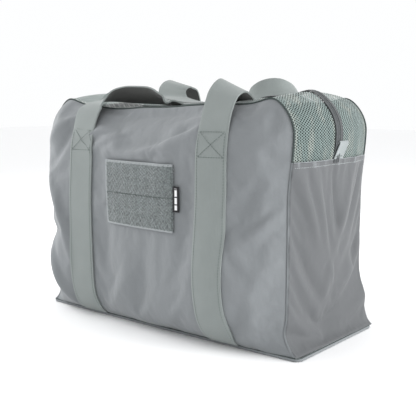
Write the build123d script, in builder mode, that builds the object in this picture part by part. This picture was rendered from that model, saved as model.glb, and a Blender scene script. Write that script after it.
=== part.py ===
"""Soft-sided pet carrier bag: two bulging side panels, a gusset with mesh over the top, a two-way
zipper, webbing handles and a loop-tape patch.  Millimetres, +Z up, +X to the right along the front,
-Y towards the front, origin at the centre of the base on the ground."""
from build123d import *
from math import cos, radians, sin
import os

os.makedirs("parts", exist_ok=True)

# ---- driving dimensions -------------------------------------------------------------------------
air = 0.4                        # air between neighbouring sewn pieces
fabric = 2.6                     # lined body fabric
mesh = 1.6                       # mesh panel
webbing = 2.0                    # strap thickness
strap_width = 50.0
strap_x = 140.0                  # centre of each strap, left and right of the middle

half_depth = 104.0               # where the gusset meets the side panels
gusset_half = half_depth - air
gusset_top = 360.0               # height of the top seams
corner_radius = 42.5
top_half = 247.5                 # half length at the top corners
waist_half = 234.0               # half length at mid height
foot_half = 262.0                # half length on the ground
knee_height = 40.0               # the foot flares out below this
knee_half = waist_half + 3
waist_height = 110.0
shoulder_height = 200.0
shoulder_half = waist_half + 1
crown = 10.0                     # rise of the zipper line above the seams
mesh_foot = 281.0                # the mesh starts here on each end
end_lean = 7.0                   # degrees that the ends lean in below the top corners
base_setback = 4.0               # the base panel ends this far inside the flared foot
strip_steps = 4                  # straight steps across each gusset strip
overrun = 20.0                   # how far a cutting block runs past what it cuts

bulge = 55.0                     # how far the belly of a side panel stands out of its seams
panel_foot = 0.6                 # lower edge of a side panel
panel_head = gusset_top + 5      # the side panel is made this tall and cut to the outline
stitch_top = 332.0               # top of the sewn part of each strap
hinge_y = 141.0                  # the handles bend here, just above the stitching

flap_half = 186.0                # half length of the opening part of the top
margin_edge = 79.0               # inner edge of the fixed mesh margin
flap_gap = 2.0
tape_half = 10.0                 # half width of the zipper strip
tape_thickness = 1.0
zip_gap = 0.8                    # half the gap between the two zipper tapes
coil_width = 1.6
coil_height = 1.4

slider_left_x = -152.0
slider_right_x = -134.0
slider_length = 13.0
slider_width = 9.0
slider_height = 2.4
bridge_width = 2.2
bridge_opening = 5.0
bridge_post = 1.4
bridge_rise = 3.6
pull_length = 30.0
pull_width = 7.0
pull_thickness = 1.4
pull_eye = 7.0                   # length of the open eye that goes round the bridge
pull_eye_width = bridge_width + 2
pull_corner = 1.5

tab_width = 25.0
tab_length = 26.0
tab_thickness = 1.6
tab_lean = 13.0                  # degrees outwards from upright

patch_half = 75.0
patch_low = 172.0
patch_row = 50.0
patch_thickness = 2.4
label_width = 11.0
label_height = 38.0
label_thickness = 0.8

board_length = 470.0
board_depth = 178.0
board_thickness = 3.0
board_corner = 12.0
seam_tape = 1.2
seam_tape_width = 11.0
tape_floor = 12.0                # the seam tape runs just above the board

# Belly of a side panel: height, and share of the full bulge there.
belly = [(0, 0.05), (24, 0.62), (56, 0.95), (110, 1.0), (200, 0.93), (285, 0.86), (330, 0.62)]
belly.append((gusset_top + 6, 0.0))

# Stations along the panel.  The panel is straight between them, and the straps and the patch start
# and end on one, so that they lie flat on it.
half_stations = [patch_half, strap_x - strap_width / 2, strap_x + strap_width / 2, 202, 232, foot_half]
stations = [-x for x in reversed(half_stations)] + half_stations

zip_surface = gusset_top + crown

# Handles: centre of the strap and the direction of its width, from the left leg to the right one.
front_route = [
    ((-140, -hinge_y, stitch_top + 2), (1, 0, 0)),
    ((-140, -138, 345), (1, -0.05, -0.1)),
    ((-143, -125, 358), (0.97, -0.16, -0.12)),
    ((-143, -107, 368), (0.95, -0.3, 0)),
    ((-140, -92, 376), (0.88, -0.45, 0.03)),
    ((-130, -82, 381), (0.8, -0.58, 0.08)),
    ((-106, -77, 382), (0.72, -0.62, 0.28)),
    ((-80, -72, 381), (0.62, -0.66, 0.4)),
    ((-58, -62, 379), (0.45, -0.8, 0.3)),
    ((-34, -50, 376), (0.15, -0.98, 0.08)),
    ((0, -42, 375), (0, -1, 0)),
    ((50, -42, 375), (0, -1, 0)),
    ((84, -45, 376), (-0.3, -0.95, 0.1)),
    ((108, -54, 379), (-0.75, -0.6, 0.25)),
    ((126, -67, 384), (-0.9, -0.2, 0.38)),
    ((135, -84, 388), (-0.92, 0, 0.38)),
    ((138, -100, 387), (-0.93, 0.05, 0.35)),
    ((139, -116, 380), (-0.95, 0.05, 0.3)),
    ((140, -129, 366), (-0.97, 0, 0.2)),
    ((140, -139, 350), (-1, 0, 0.05)),
    ((140, -hinge_y, stitch_top + 2), (-1, 0, 0)),
]
back_route = [
    ((-140, hinge_y, stitch_top + 2), (1, 0, 0)),
    ((-139, 138, 346), (1, -0.05, 0)),
    ((-135, 128, 364), (0.95, -0.2, 0)),
    ((-130, 113, 382), (0.85, -0.45, 0.05)),
    ((-122, 96, 394), (0.75, -0.6, 0.1)),
    ((-112, 80, 396), (0.85, -0.3, 0)),
    ((-101, 66, 390), (0.9, 0.2, -0.1)),
    ((-88, 55, 383), (0.8, 0.55, -0.1)),
    ((-70, 47, 378), (0.5, 0.85, 0)),
    ((-42, 43, 375), (0.1, 0.99, 0)),
    ((40, 42, 375), (0, 1, 0)),
    ((66, 46, 376), (-0.25, 0.97, 0)),
    ((84, 54, 381), (-0.6, 0.78, 0.1)),
    ((95, 66, 389), (-0.72, 0.65, 0.2)),
    ((104, 80, 394), (-0.77, 0.52, 0.3)),
    ((116, 97, 393), (-0.8, 0.45, 0.35)),
    ((128, 115, 384), (-0.88, 0.3, 0.3)),
    ((135, 128, 368), (-0.96, 0.15, 0.2)),
    ((139, 138, 350), (-1, 0, 0.05)),
    ((140, hinge_y, stitch_top + 2), (-1, 0, 0)),
]


def finish(piece, name):
    """Labels a finished piece and writes it."""
    piece.part.label = name
    export_step(piece.part, f"parts/{name}.step")


# ---- side panels and what is sewn to them -------------------------------------------------------
def fullness(x):
    """Share of the bulge along the panel: full in the middle, next to none at the side seams."""
    return max(0.02, 1 - abs(x / (foot_half - 14)) ** 3.2)


def belly_share(height):
    """Share of the bulge at a height, straight between the belly's entries."""
    for (low, start), (high, end) in zip(belly, belly[1:]):
        if height <= high:
            return start + (end - start) * (height - low) / (high - low)
    return belly[-1][1]


def layer_profile(side, x, inner, outer, low, high):
    """Corners of a layer's section at x, between two offsets from the panel's inner face."""
    heights = [low] + [height for height, share in belly if low < height < high] + [high]
    depths = [half_depth + bulge * fullness(x) * belly_share(height) for height in heights]
    outside = [(side * (depth + outer), height) for depth, height in zip(depths, heights)]
    inside = [(side * (depth + inner), height) for depth, height in zip(depths, heights)]
    return outside + list(reversed(inside))


def layer(side, xs, inner, outer, low, high):
    """A sewn layer that follows the side panel, straight from one station to the next."""
    with BuildPart() as piece:
        for x in xs:
            with BuildSketch(Plane.YZ.offset(x)):
                with BuildLine():
                    Polyline(*layer_profile(side, x, inner, outer, low, high), close=True)
                make_face()
        loft(ruled=True)
    return piece


def top_corner(shrink):
    """End of the corner arc, which runs on past level until it leans in with the end."""
    radius = corner_radius - shrink
    x = top_half - corner_radius + radius * cos(radians(end_lean))
    z = gusset_top - corner_radius - radius * sin(radians(end_lean))
    return (x, z)


def end_points(shrink):
    """Corners of the bag's end from the mesh's foot to the ground, moved inwards by shrink."""
    corner_x, corner_z = top_corner(0)
    foot_x = corner_x - (corner_z - mesh_foot) * sin(radians(end_lean))
    points = [(foot_x, mesh_foot), (shoulder_half, shoulder_height), (waist_half, waist_height)]
    points.append((knee_half, knee_height))
    return [(x - shrink, z) for x, z in points]


def foot_edge(height):
    """Half length of the flared foot at a height below the knee."""
    return foot_half - (foot_half - knee_half) * height / knee_height


def outline(shrink, floor):
    """Whole outline of the bag seen from the front, closed along a level floor line.
    It is drawn flat, with the height as its second coordinate."""
    half_top = top_half - corner_radius
    radius = corner_radius - shrink
    with BuildLine(Plane.XY) as line:
        for flip in (1, -1):
            top = Line((0, gusset_top - shrink), (flip * half_top, gusset_top - shrink))
            corner = (flip * top_corner(shrink)[0], top_corner(shrink)[1])
            middle = (flip * (half_top + radius * sin(radians(45))),
                      gusset_top - corner_radius + radius * cos(radians(45)))
            ThreePointArc(top @ 1, middle, corner)
            ends = [(flip * x, z) for x, z in end_points(shrink)]
            foot = foot_edge(floor) - shrink
            Polyline(corner, *ends, (flip * foot, floor))
        Line((-foot, floor), (foot, floor))
    return line.line


def outline_block(side, shrink, floor, depth_start, depth_end):
    """The outline's inside as a block between two depths from the middle plane."""
    with BuildPart() as block:
        with BuildSketch(Plane.XZ.offset(-side * depth_start)):
            add(outline(shrink, floor))
            make_face()
        extrude(amount=-side * (depth_end - depth_start))
    return block.part


for side, name in ((-1, "front"), (1, "back")):
    panel = layer(side, stations, 0, fabric, panel_foot, panel_head)
    with BuildPart() as trimmed:
        add(panel.part)
        add(outline_block(side, 0, panel_foot, 0, half_depth + bulge + overrun), mode=Mode.INTERSECT)
    finish(trimmed, f"{name}_panel")

    with BuildPart() as binding:
        add(
            outline_block(side, fabric + air, tape_floor, gusset_half - seam_tape_width, gusset_half)
        )
        add(
            outline_block(side, fabric + air + seam_tape, tape_floor + seam_tape, 0, half_depth + overrun),
            mode=Mode.SUBTRACT,
        )
    finish(binding, f"{name}_seam_tape")

    for flip, hand in ((-1, "left"), (1, "right")):
        edges = sorted((flip * (strap_x - strap_width / 2), flip * (strap_x + strap_width / 2)))
        strap = layer(side, edges, fabric + air, fabric + air + webbing, panel_foot + 2, stitch_top)
        finish(strap, f"{name}_{hand}_strap")

patch_inner = fabric + air
for row, name in ((0, "lower"), (1, "upper")):
    low = patch_low + row * (patch_row + air)
    patch_outer = patch_inner + patch_thickness
    tape = layer(-1, (-patch_half, patch_half), patch_inner, patch_outer, low, low + patch_row)
    finish(tape, f"{name}_loop_tape")

label_edges = (patch_half + air, patch_half + air + label_width)
label_low = patch_low + patch_row - label_height / 2
label_top = label_low + label_height
label = layer(-1, label_edges, patch_inner, patch_inner + label_thickness, label_low, label_top)
finish(label, "side_label")


# ---- gusset: base, ends, mesh over the top ------------------------------------------------------
with BuildPart() as base_panel:
    with BuildSketch():
        Rectangle(2 * (foot_half - base_setback), 2 * gusset_half)
    extrude(amount=fabric)
finish(base_panel, "base_panel")

with BuildPart() as base_board:
    with BuildSketch(Plane.XY.offset(fabric + air)):
        RectangleRounded(board_length, board_depth, board_corner)
    extrude(amount=board_thickness)
finish(base_board, "base_board")

for flip, hand in ((-1, "left"), (1, "right")):
    outside = [(flip * x, z) for x, z in end_points(0)]
    inside = [(flip * x, z) for x, z in end_points(fabric)]
    foot = fabric + air
    low_edge = [(flip * foot_edge(foot), foot), (flip * (foot_edge(foot) - fabric), foot)]
    with BuildPart() as end_panel:
        with BuildSketch(Plane.XZ.offset(-gusset_half)):
            with BuildLine():
                Polyline(*outside, *low_edge, *reversed(inside), close=True)
            make_face()
        extrude(amount=2 * gusset_half)
    finish(end_panel, f"{hand}_end_panel")


def crown_height(y):
    """Rise of the gusset above the top seams: a shallow parabola across the bag."""
    return crown * (1 - (y / half_depth) ** 2)


def strip_profile(side, near, far, thickness, lift):
    """Section of a gusset strip between two distances from the middle plane."""
    ys = [near + (far - near) * step / strip_steps for step in range(strip_steps + 1)]
    upper = [(side * y, gusset_top + crown_height(y) + lift) for y in ys]
    lower = [(y, z - thickness) for y, z in upper]
    return upper + list(reversed(lower))


def straight_strip(side, near, far, thickness, lift=0.0):
    """A gusset strip along the opening part of the top."""
    with BuildPart() as piece:
        with BuildSketch(Plane.YZ.offset(-flap_half)):
            with BuildLine():
                Polyline(*strip_profile(side, near, far, thickness, lift), close=True)
            make_face()
        extrude(amount=2 * flap_half)
    return piece


def end_strip(flip, profile):
    """A gusset strip from the opening part round a top corner and down to the mesh's foot."""
    start = flap_half + flap_gap
    corner_x, corner_z = top_corner(0)
    drop = corner_z - mesh_foot - air
    foot = (corner_x - drop * sin(radians(end_lean)), corner_z - drop * cos(radians(end_lean)))
    half_top = top_half - corner_radius
    middle = (half_top + corner_radius * sin(radians(45)),
              gusset_top - corner_radius + corner_radius * cos(radians(45)))
    with BuildPart() as piece:
        with BuildLine(Plane.XZ) as path:
            top = Line((start, gusset_top), (half_top, gusset_top))
            arc = ThreePointArc(top @ 1, middle, (corner_x, corner_z))
            Line(arc @ 1, foot)
        with BuildSketch(Plane.YZ.offset(start)):
            with BuildLine():
                Polyline(*profile, close=True)
            make_face()
        sweep(path=path.line)
        if flip < 0:
            mirror(about=Plane.YZ, mode=Mode.REPLACE)
    return piece


mesh_near = tape_half + air
for side, name in ((-1, "front"), (1, "back")):
    finish(straight_strip(side, margin_edge, gusset_half, mesh), f"{name}_mesh_margin")
    finish(straight_strip(side, mesh_near, margin_edge - flap_gap, mesh), f"{name}_mesh_flap")
    finish(straight_strip(side, zip_gap, tape_half, tape_thickness, tape_thickness), f"{name}_zipper_tape")
    coil = straight_strip(side, zip_gap, zip_gap + coil_width, coil_height, -air / 2)
    finish(coil, f"{name}_zipper_coil")
    for flip, hand in ((-1, "left"), (1, "right")):
        corner_profile = strip_profile(side, mesh_near, gusset_half, mesh, 0)
        finish(end_strip(flip, corner_profile), f"{hand}_{name}_mesh_corner")

for flip, hand in ((-1, "left"), (1, "right")):
    tape_profile = strip_profile(1, -tape_half, tape_half, tape_thickness, tape_thickness)
    finish(end_strip(flip, tape_profile), f"{hand}_zipper_end_tape")
    coil_profile = strip_profile(1, -coil_width - zip_gap, coil_width + zip_gap, coil_height, -air / 2)
    finish(end_strip(flip, coil_profile), f"{hand}_zipper_end_coil")

    tab_foot = end_points(0)[0][0] + crown + 2 * tape_thickness
    tab_plane = Plane(origin=(flip * tab_foot, 0, mesh_foot + 1), x_dir=(0, 1, 0),
                      z_dir=(flip * sin(radians(tab_lean)), 0, cos(radians(tab_lean))))
    with BuildPart() as tab:
        with BuildSketch(tab_plane):
            Rectangle(tab_width, tab_thickness)
        extrude(amount=tab_length)
    finish(tab, f"{hand}_zipper_tab")


# ---- zipper sliders and pulls -------------------------------------------------------------------
slider_low = zip_surface + tape_thickness + air
slider_top = slider_low + slider_height
pivot_height = slider_top + bridge_rise / 2


def slider(x):
    """Slider body with the bridge that holds the pull."""
    with BuildPart() as piece:
        with BuildSketch(Plane.XY.offset(slider_low)):
            with Locations((x, 0)):
                SlotOverall(slider_length, slider_width)
        extrude(amount=slider_height)
        with BuildSketch(Plane.XZ.offset(-bridge_width / 2)):
            with Locations((x, slider_top + (bridge_rise + bridge_post) / 2)):
                Rectangle(bridge_opening + 2 * bridge_post, bridge_rise + bridge_post)
            with Locations((x, slider_top + bridge_rise / 2)):
                Rectangle(bridge_opening, bridge_rise, mode=Mode.SUBTRACT)
        extrude(amount=bridge_width)
    return piece


def pull(x, flip):
    """Pull tab with an open eye, hanging on the bridge by its cross bar, lying along the zipper."""
    with BuildPart() as piece:
        with BuildSketch(Plane.XY.offset(pivot_height - pull_thickness / 2)):
            with Locations((x + flip * pull_length / 2, 0)):
                RectangleRounded(pull_length, pull_width, pull_corner)
            with Locations((x + flip * (pull_eye / 2 + pull_thickness), 0)):
                Rectangle(pull_eye, pull_eye_width, mode=Mode.SUBTRACT)
        extrude(amount=pull_thickness)
    return piece


for x, flip, hand in ((slider_left_x, -1, "left"), (slider_right_x, 1, "right")):
    finish(slider(x), f"{hand}_zipper_slider")
    finish(pull(x - flip * pull_thickness / 2, flip), f"{hand}_zipper_pull")


# ---- handles ------------------------------------------------------------------------------------
def handle(route):
    """Flat strap through rectangles set square to the route, straight from one to the next."""
    centres = [Vector(*centre) for centre, width in route]
    with BuildPart() as piece:
        for index, (centre, width) in enumerate(route):
            ahead = centres[min(index + 1, len(route) - 1)]
            behind = centres[max(index - 1, 0)]
            along = (ahead - behind).normalized()
            across = Vector(*width)
            across = (across - along * across.dot(along)).normalized()
            with BuildSketch(Plane(origin=centre, x_dir=across, z_dir=along)):
                Rectangle(strap_width, webbing)
        loft(ruled=True)
    return piece


finish(handle(front_route), "front_handle")
finish(handle(back_route), "back_handle")
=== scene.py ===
import bpy
import numpy as np
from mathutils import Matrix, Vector


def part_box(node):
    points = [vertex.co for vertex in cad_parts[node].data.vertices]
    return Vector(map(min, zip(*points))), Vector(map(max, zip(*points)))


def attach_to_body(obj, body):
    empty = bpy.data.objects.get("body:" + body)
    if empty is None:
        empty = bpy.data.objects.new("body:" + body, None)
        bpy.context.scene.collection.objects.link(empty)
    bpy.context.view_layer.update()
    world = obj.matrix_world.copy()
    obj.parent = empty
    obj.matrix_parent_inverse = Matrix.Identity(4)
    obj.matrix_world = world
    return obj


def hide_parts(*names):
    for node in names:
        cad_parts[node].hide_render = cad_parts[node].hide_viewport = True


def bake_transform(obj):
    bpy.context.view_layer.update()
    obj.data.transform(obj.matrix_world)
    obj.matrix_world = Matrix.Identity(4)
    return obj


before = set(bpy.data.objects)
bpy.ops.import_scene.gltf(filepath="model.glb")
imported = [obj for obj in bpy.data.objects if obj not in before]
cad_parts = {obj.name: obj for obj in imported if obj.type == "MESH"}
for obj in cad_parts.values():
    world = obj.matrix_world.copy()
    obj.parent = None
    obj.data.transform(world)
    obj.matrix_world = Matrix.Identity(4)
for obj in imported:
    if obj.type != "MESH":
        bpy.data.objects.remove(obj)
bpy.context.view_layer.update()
sides = (-1, "front"), (1, "back")
hands = (-1, "left"), (1, "right")
print("frame loaded")


def smooth(t):
    # 0 below 0, 1 above 1, an S curve between
    t = np.clip(t, 0, 1)
    return t * t * (3 - 2 * t)


def bell(t):
    # a rounded hump of height 1 at 0 that dies away past 2
    return np.exp(-t * t)


def unit(v):
    # vectors scaled to length 1
    return v / np.maximum(np.linalg.norm(v, axis=-1, keepdims=True), 1e-9)


def spread(*axes):
    # a grid with one row or column for each value of its axes
    return np.meshgrid(*axes, indexing="ij")


def stack(x, y, z):
    # points from three arrays of any matching shapes
    return np.stack(np.broadcast_arrays(x, y, z), axis=-1).astype(float)


def given(thing, **values):
    # sets several properties of a thing at once
    for key, value in values.items():
        setattr(thing, key, value)
    return thing


class Wire:
    # a node's output that can be used in sums
    def __init__(self, finish, socket):
        self.finish = finish
        self.socket = socket

    def calc(self, operation, *others):
        inputs = {0: self}
        inputs.update({i + 1: other for i, other in enumerate(others)})
        return self.finish.node("ShaderNodeMath", dict(operation=operation), inputs)

    def __rsub__(self, other):
        return self.calc("MULTIPLY", -1).calc("ADD", other)

    def clamped(self):
        return self.calc("MAXIMUM", 0).calc("MINIMUM", 1)

    __add__ = __radd__ = lambda self, other: self.calc("ADD", other)
    __mul__ = __rmul__ = lambda self, other: self.calc("MULTIPLY", other)
    __sub__ = lambda self, other: self.calc("SUBTRACT", other)
    __truediv__ = lambda self, other: self.calc("DIVIDE", other)
    __gt__ = lambda self, other: self.calc("GREATER_THAN", other)
    __lt__ = lambda self, other: self.calc("LESS_THAN", other)
    sin = lambda self: self.calc("SINE")
    abs = lambda self: self.calc("ABSOLUTE")
    frac = lambda self: self.calc("FRACT")


class Finish:
    # one material: a Principled shader and the nodes that feed it
    def __init__(self, name, colour, roughness=0.7, metallic=0.0, sheen=0.0, specular=0.35):
        self.material = bpy.data.materials.new(name)
        self.material.use_nodes = True
        self.tree = self.material.node_tree
        self.shader = self.tree.nodes["Principled BSDF"]
        values = {"Base Color": (*colour, 1), "Roughness": roughness, "Metallic": metallic,
                  "Specular IOR Level": specular, "Sheen Weight": sheen, "Sheen Roughness": 0.5}
        for key, value in values.items():
            self.shader.inputs[key].default_value = value

    def node(self, kind, settings=None, inputs=None, output=0):
        made = given(self.tree.nodes.new(kind), **(settings or {}))
        for key, value in (inputs or {}).items():
            if isinstance(value, Wire):
                self.tree.links.new(value.socket, made.inputs[key])
            else:
                made.inputs[key].default_value = value
        return Wire(self, made.outputs[output])

    def feed(self, socket, wire):
        self.tree.links.new(wire.socket, self.shader.inputs[socket])

    def place(self):
        return self.node("ShaderNodeTexCoord", output="Object")

    def uv(self):
        split = self.node("ShaderNodeSeparateXYZ", None, {0: self.node("ShaderNodeTexCoord", output="UV")})
        return split, Wire(self, split.socket.node.outputs[1])

    def xyz(self):
        split = self.node("ShaderNodeSeparateXYZ", None, {0: self.place()})
        outputs = split.socket.node.outputs
        return split, Wire(self, outputs[1]), Wire(self, outputs[2])

    def noise(self, scale, detail=3.0, rough=0.55, vector=None, stretch=None):
        vector = vector or self.place()
        if stretch:
            vector = self.node("ShaderNodeMapping", None, {"Vector": vector, "Scale": stretch})
        values = {"Vector": vector, "Scale": scale, "Detail": detail, "Roughness": rough}
        return self.node("ShaderNodeTexNoise", dict(noise_dimensions="3D"), values)

    def mix(self, factor, first, second):
        # sockets 0, 6 and 7 are the factor and the two colours
        values = {0: factor, 6: first if isinstance(first, Wire) else (*first, 1)}
        values[7] = second if isinstance(second, Wire) else (*second, 1)
        return self.node("ShaderNodeMix", dict(data_type="RGBA"), values, output=2)

    def shaded(self, tone, colour, low, high):
        # the base colour runs between a darker and a lighter tint
        self.feed("Base Color", self.mix(tone, tint(colour, low), tint(colour, high)))

    def bump(self, height, strength, distance, below=None):
        values = {"Height": height, "Strength": strength, "Distance": distance}
        if below:
            values["Normal"] = below
        return self.node("ShaderNodeBump", None, values)


def tint(colour, factor):
    # a lighter or darker version of a colour
    return tuple(min(1.0, channel * factor) for channel in colour)


clothLook = dict(colour=(0.197, 0.210, 0.219), weave=1500, wrinkle=0.0022, roughness=0.68)
webLook = dict(colour=(0.225, 0.250, 0.244), rib=0.0021, pick=0.0016, roughness=0.72)
# the mesh's pale streak colour is painted light showing through the mesh
meshLook = dict(thread=(0.125, 0.168, 0.160), paintedLightStreak=(0.46, 0.46, 0.40), pitch=0.0038, hole=0.12, roughness=0.7)
loopLook = dict(colour=(0.078, 0.092, 0.093), light=(0.25, 0.284, 0.285), roughness=0.95)


def woven(name, colour, roughness, wrinkle, weave, specular=0.2):
    # soft nylon: slow colour drift, a fine weave and shallow creases in the bump
    made = Finish(name, colour, roughness, sheen=0.15, specular=specular)
    drift = made.noise(7.0, 4)
    grain = made.noise(weave, 2, 0.6)
    shade = (drift * 0.7 + grain * 0.3).clamped()
    made.shaded(shade, colour, 0.86, 1.14)
    creases = made.noise(16.0, 4, 0.5, stretch=(1.3, 1.0, 0.7))
    lower = made.bump(creases, 0.55, wrinkle * 4)
    ripple = made.noise(60.0, 3, 0.5)
    lower = made.bump(ripple, 0.25, wrinkle, lower)
    made.feed("Normal", made.bump(grain, 0.25, 0.0004, lower))
    made.feed("Roughness", (drift * 0.16 + (roughness - 0.08)).clamped())
    return made.material


def webbed(name, look):
    # webbing: ribs along the strap, picks across it, on the piece's own UV in metres
    colour = look["colour"]
    made = Finish(name, colour, look["roughness"], sheen=0.2, specular=0.25)
    across, along = made.uv()
    rib = (across * (2 * np.pi / look["rib"])).sin()
    pick = (along * (2 * np.pi / look["pick"]) + rib * 1.2).sin()
    drift = made.noise(28.0, 4)
    grain = made.noise(900.0, 2)
    weave = (rib * 0.25 + pick * 0.25 + 0.5).clamped()
    tone = (weave * 0.3 + drift * 0.5 + grain * 0.25).clamped()
    made.shaded(tone, colour, 0.82, 1.12)
    lower = made.bump(weave, 0.5, 0.0005)
    made.feed("Normal", made.bump(grain, 0.25, 0.0004, lower))
    return made.material


def netting(name, look):
    # three waves at 60 degrees to each other make a honeycomb of holes, on the piece's own UV
    made = Finish(name, look["thread"], look["roughness"], sheen=0.3, specular=0.3)
    across, along = made.uv()
    turn = 2 * np.pi / look["pitch"] / 0.866
    first = (along * turn).sin()
    second = (along * (turn * -0.5) + across * (turn * 0.866)).sin()
    third = (along * (turn * -0.5) - across * (turn * 0.866)).sin()
    comb = (first + second + third) * 0.385
    fray = made.noise(700.0, 2)
    hole = (comb + (fray - 0.5) * 0.5) > look["hole"]
    made.feed("Alpha", 1 - hole)
    drift = made.noise(60.0, 3, 0.7, stretch=(2.0, 2.0, 0.5))
    tone = (fray * 0.7 + drift * 0.6 - 0.25).clamped()
    cool = made.mix(tone, tint(look["thread"], 0.7), tint(look["thread"], 1.9))
    # pale streaks on the threads beside the holes: painted light showing through the mesh
    paintedLightStreak = (made.noise(34.0, 3, 0.6, stretch=(1.6, 1.6, 0.35)) * 3.4 - 1.75).clamped()
    made.feed("Base Color", made.mix(paintedLightStreak * 0.75 * (fray * 1.6).clamped(), cool, look["paintedLightStreak"]))
    made.feed("Normal", made.bump(comb * -0.5 + 0.5, 0.7, 0.0009))
    return made.material


def pile(name, look):
    # loop tape: tangled loops; the colour follows the bump's noises, and its darker tint in the hollows between
    # the loops is painted shade
    made = Finish(name, look["colour"], look["roughness"], sheen=0.6, specular=0.15)
    tangle = made.noise(420.0, 4, 0.75)
    tufts = made.noise(190.0, 3, 0.7)
    tone = (tangle * 1.9 + tufts * 0.9 - 0.95).clamped()
    # darker tint where the noises are low, between the loops: painted shade
    made.feed("Base Color", made.mix(tone, tint(look["colour"], 0.72), look["light"]))
    lower = made.bump(tufts, 0.6, 0.0016)
    made.feed("Normal", made.bump(tangle, 0.9, 0.0012, lower))
    return made.material


def plain(name, colour, roughness, metallic=0.0, grain=400.0, depth=0.0003):
    # smooth hard or twisted stuff: fine specks and slow wear, in colour, roughness and bump
    made = Finish(name, colour, roughness, metallic, specular=0.4)
    speck = made.noise(grain, 4, 0.6)
    wear = made.noise(45.0, 4, 0.6)
    tone = (speck * 0.6 + wear * 0.4).clamped()
    made.shaded(tone, colour, 0.8, 1.2)
    made.feed("Roughness", (wear * 0.25 + (roughness - 0.12)).clamped())
    made.feed("Normal", made.bump(speck, 0.3, depth))
    return made.material


def zipTapeLook(name, colour):
    # tight twill: fine slanting ribs on Object coordinates
    made = Finish(name, colour, 0.6, sheen=0.2, specular=0.3)
    x, y, z = made.xyz()
    twill = ((x + y * 1.7 + z) * (2 * np.pi / 0.0013)).sin() * 0.5 + 0.5
    drift = made.noise(60.0, 3)
    tone = (twill * 0.45 + drift * 0.55).clamped()
    made.shaded(tone, colour, 0.8, 1.25)
    made.feed("Normal", made.bump(twill, 0.35, 0.0003))
    return made.material


def blocked(name, colour, mark, low, high, across):
    # black woven label with plain pale blocks down its middle, placed by height and by x
    made = Finish(name, colour, 0.6, specular=0.3)
    x, y, z = made.xyz()
    rise = (z - low) / (high - low)
    inside = (rise > 0.08) * (rise < 0.92)
    step = (rise * 3.4 + 0.08).frac()
    block = (step > 0.16) * (((x - across).abs()) < 0.0021) * inside
    weave = made.noise(1100.0, 2)
    dark = made.mix(weave, tint(colour, 0.6), tint(colour, 1.5))
    made.feed("Base Color", made.mix(block, dark, mark))
    made.feed("Normal", made.bump(weave, 0.3, 0.0003))
    return made.material


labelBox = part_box("side_label")
cloth = woven("bodyFabric", **clothLook)
lining = woven("liningFabric", (0.10, 0.105, 0.11), 0.6, 0.001, 1500)
web = webbed("webbing", webLook)
# the straps' inner face: webbing darkened to stand for the shade under the handle arches, painted shade
webPaintedShade = webbed("webbingPaintedShade", dict(webLook, colour=(0.085, 0.087, 0.082)))
net = netting("mesh", meshLook)
pilePaintedShade = pile("loopTapePaintedShade", loopLook)
zipCloth = zipTapeLook("zipperTape", (0.036, 0.041, 0.044))
coilLook = plain("zipperCoil", (0.05, 0.055, 0.058), 0.42)
metal = plain("sliderMetal", (0.16, 0.165, 0.17), 0.36, 1.0, 260.0, 0.0002)
tabCloth = webbed("tabWebbing", dict(webLook, colour=(0.26, 0.285, 0.29), rib=0.0016))
labelLook = blocked("labelBlack", (0.012, 0.012, 0.014), (0.75, 0.75, 0.76), labelBox[0].z, labelBox[1].z,
                    (labelBox[0].x + labelBox[1].x) / 2)
bindCloth = woven("seamTape", (0.13, 0.135, 0.14), 0.7, 0.0006, 1800)
boardLook = plain("stiffBoard", (0.035, 0.037, 0.04), 0.55, 0.0, 700.0, 0.0004)
threadLook = plain("thread", (0.10, 0.13, 0.12), 0.6, 0.0, 2500.0, 0.0001)
paleThread = plain("paleThread", (0.40, 0.43, 0.43), 0.6, 0.0, 2500.0, 0.0001)
# dark seam cord: the seams' dark thread together with painted shadow in their gaps
seamAndShadowLook = plain("seamThreadAndShadow", (0.045, 0.06, 0.057), 0.8, 0.0, 1500.0, 0.0003)
selvage = woven("selvage", (0.29, 0.31, 0.32), 0.6, 0.0004, 1800)
print("finishes made")


def gridFaces(rows, columns, closeRows=False, closeColumns=False):
    # quads between neighbouring rows and columns, wrapped where a direction closes
    i = np.arange(rows if closeRows else rows - 1)
    j = np.arange(columns if closeColumns else columns - 1)
    i, j = spread(i, j)
    nextI = (i + 1) % rows
    nextJ = (j + 1) % columns
    quads = np.stack([i * columns + j, nextI * columns + j, nextI * columns + nextJ, i * columns + nextJ], -1)
    return quads.reshape(-1, 4)


def build(name, points, faces, uv=None, materials=(), flip=False):
    # one object from arrays of points and faces
    points = np.asarray(points, float).reshape(-1, 3)
    faces = [face[::-1] if flip else face for face in faces]
    mesh = bpy.data.meshes.new(name)
    mesh.from_pydata(points.tolist(), [], [list(map(int, face)) for face in faces])
    if uv is not None:
        corner = np.empty(len(mesh.loops), int)
        mesh.loops.foreach_get("vertex_index", corner)
        flat = np.asarray(uv, float).reshape(-1, 2)[corner]
        mesh.uv_layers.new(name="UVMap").data.foreach_set("uv", flat.ravel())
    mesh.polygons.foreach_set("use_smooth", [True] * len(mesh.polygons))
    for material in materials:
        mesh.materials.append(material)
    made = bpy.data.objects.new(name, mesh)
    bpy.context.scene.collection.objects.link(made)
    return made


def sheetOf(name, points, uv, materials, flip=False):
    # a surface from a grid of points, with a pair of grids for its texture places
    return build(name, points, gridFaces(*points.shape[:2]), np.stack(uv, -1), materials, flip)


def thicken(piece, thickness, offset=-1.0, edge=0.0, inner=0):
    # a wall behind the sheet, with its edges rounded over
    given(piece.modifiers.new("wall", "SOLIDIFY"), thickness=thickness, offset=offset, use_even_offset=False,
          material_offset=inner)
    if edge:
        given(piece.modifiers.new("edge", "BEVEL"), width=edge, segments=2, limit_method="ANGLE",
              angle_limit=np.radians(50), use_clamp_overlap=True)
    return piece


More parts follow.
